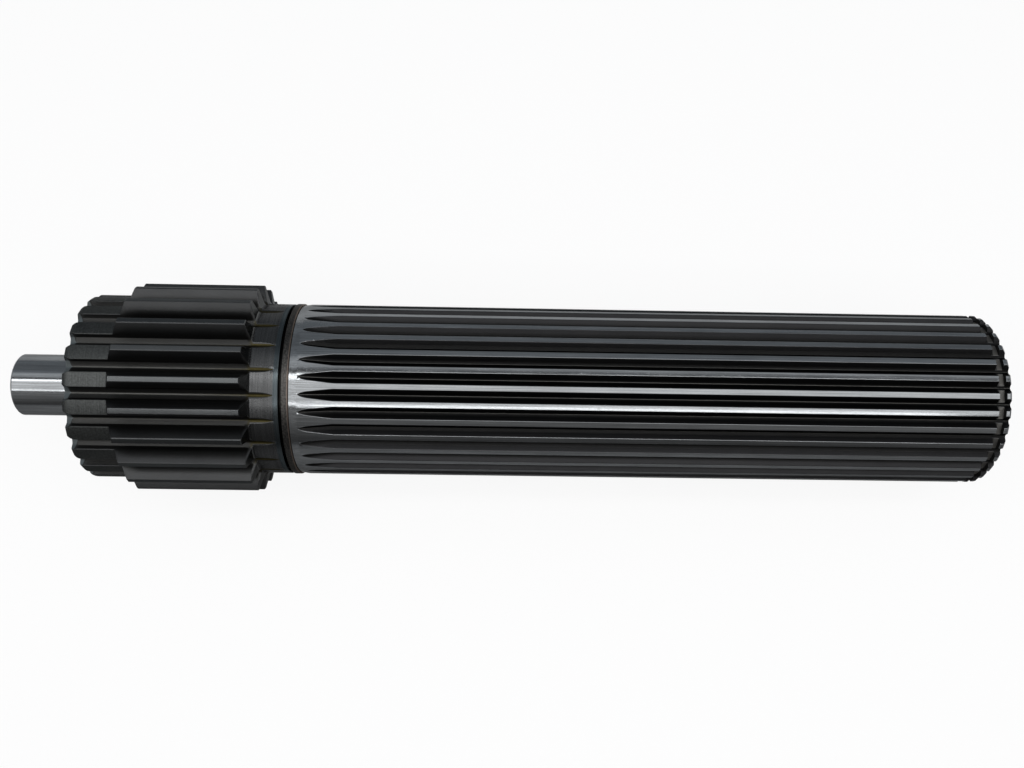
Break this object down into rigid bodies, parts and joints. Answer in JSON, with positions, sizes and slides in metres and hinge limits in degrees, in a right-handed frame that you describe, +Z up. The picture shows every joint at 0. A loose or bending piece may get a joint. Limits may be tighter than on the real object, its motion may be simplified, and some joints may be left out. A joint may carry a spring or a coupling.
{
  "type": "splined shaft",
  "caption": "Steel drive shaft with a pilot journal, a straight gear with lowered tips at one end, two collars with a ring between them, and a long spline.",
  "frame": {"origin": "on the shaft's axis, in the shoulder face of the gear that the pilot journal stands out of", "axes": "+X along the axis towards the splined end, +Z up with the shaft lying on two of its gear teeth, +Y across it"},
  "size_m": [0.4727, 0.1016, 0.101],
  "materials": {
    "dark_steel": "hardened and oiled, near black on the gear, ground bright on the journal, the collar and the spline's lands",
    "spring_steel": "matt dark phosphate"
  },
  "bodies": {
    "root": {"splined_shaft": "dark_steel", "snap_ring": "spring_steel"}
  },
  "joints": []
}
